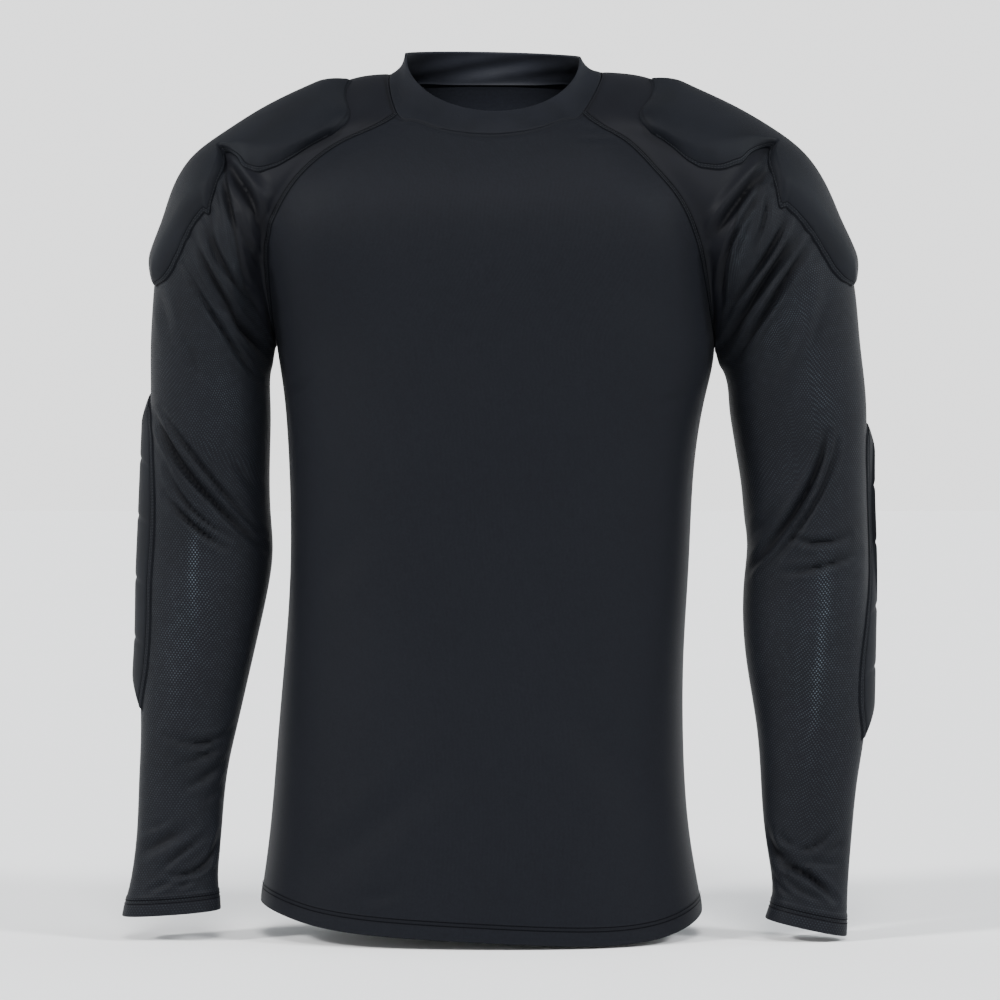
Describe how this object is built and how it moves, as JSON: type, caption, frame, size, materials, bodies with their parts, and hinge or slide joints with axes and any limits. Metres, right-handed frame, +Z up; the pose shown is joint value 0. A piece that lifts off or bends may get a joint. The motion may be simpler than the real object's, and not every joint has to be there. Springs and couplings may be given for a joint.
{
  "type": "padded compression shirt",
  "caption": "Long-sleeved raglan compression shirt with domed pads over the shoulders and elbows, hollow and filled out as when worn.",
  "frame": {"origin": "middle of the neck opening, level with the side of the neck seam, where the shoulders hold the shirt", "axes": "+Z up, the chest faces -Y, the wearer's right sleeve is on the -X side"},
  "size_m": [0.6299, 0.224, 0.7451],
  "materials": {
    "body_jersey": "smooth stretch jersey",
    "sleeve_mesh": "fine perforated stretch mesh",
    "pad_cloth": "dull stretch cloth over foam",
    "collar_rib": "smooth double band"
  },
  "bodies": {
    "root": {"front_panel": "body_jersey", "back_panel": "body_jersey", "sleeve_right": "sleeve_mesh", "sleeve_left": "sleeve_mesh", "collar_band": "collar_rib", "shoulder_pad_right": "pad_cloth", "shoulder_pad_left": "pad_cloth", "elbow_pad_right": "pad_cloth", "elbow_pad_left": "pad_cloth"}
  },
  "joints": []
}
